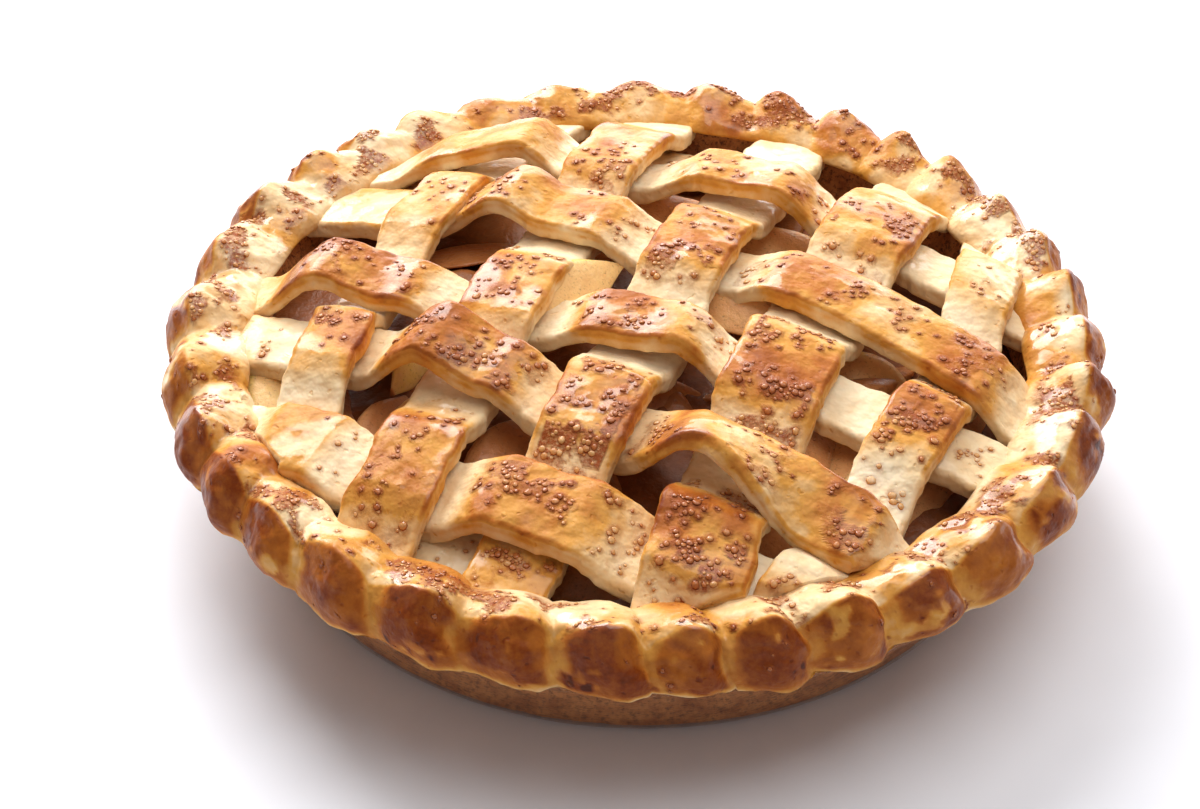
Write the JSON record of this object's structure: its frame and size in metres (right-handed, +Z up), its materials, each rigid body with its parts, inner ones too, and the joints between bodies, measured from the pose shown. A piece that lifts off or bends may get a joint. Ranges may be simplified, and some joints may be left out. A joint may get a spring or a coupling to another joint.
{
  "type": "lattice apple pie in a glass dish",
  "caption": "Round apple pie with a fluted pastry rim and a woven lattice top sprinkled with coarse sugar, in its own clear glass pie dish.",
  "frame": {"origin": "centre of the dish's flat underside, on the surface that the pie stands on", "axes": "+Z up; +X and +Y lie in the surface, with +Y pointing away from the side that is served first"},
  "size_m": [0.2586, 0.2576, 0.0681],
  "materials": {
    "glass": "clear pressed glass, smooth",
    "rim_pastry": "egg-washed shortcrust, well browned, half gloss",
    "lattice_pastry": "golden shortcrust with coarse sugar, half gloss",
    "apple_filling": "cooked apple slices in dark syrup, wet"
  },
  "bodies": {
    "root": {"glass_dish": "glass", "crust": "rim_pastry", "filling": "apple_filling", "strip_rising_1": "lattice_pastry", "strip_rising_2": "lattice_pastry", "strip_rising_3": "lattice_pastry", "strip_rising_4": "lattice_pastry", "strip_rising_5": "lattice_pastry", "strip_falling_1": "lattice_pastry", "strip_falling_2": "lattice_pastry", "strip_falling_3": "lattice_pastry", "strip_falling_4": "lattice_pastry", "strip_falling_5": "lattice_pastry", "strip_offcut_near": "lattice_pastry", "strip_offcut_far": "lattice_pastry"}
  },
  "joints": []
}
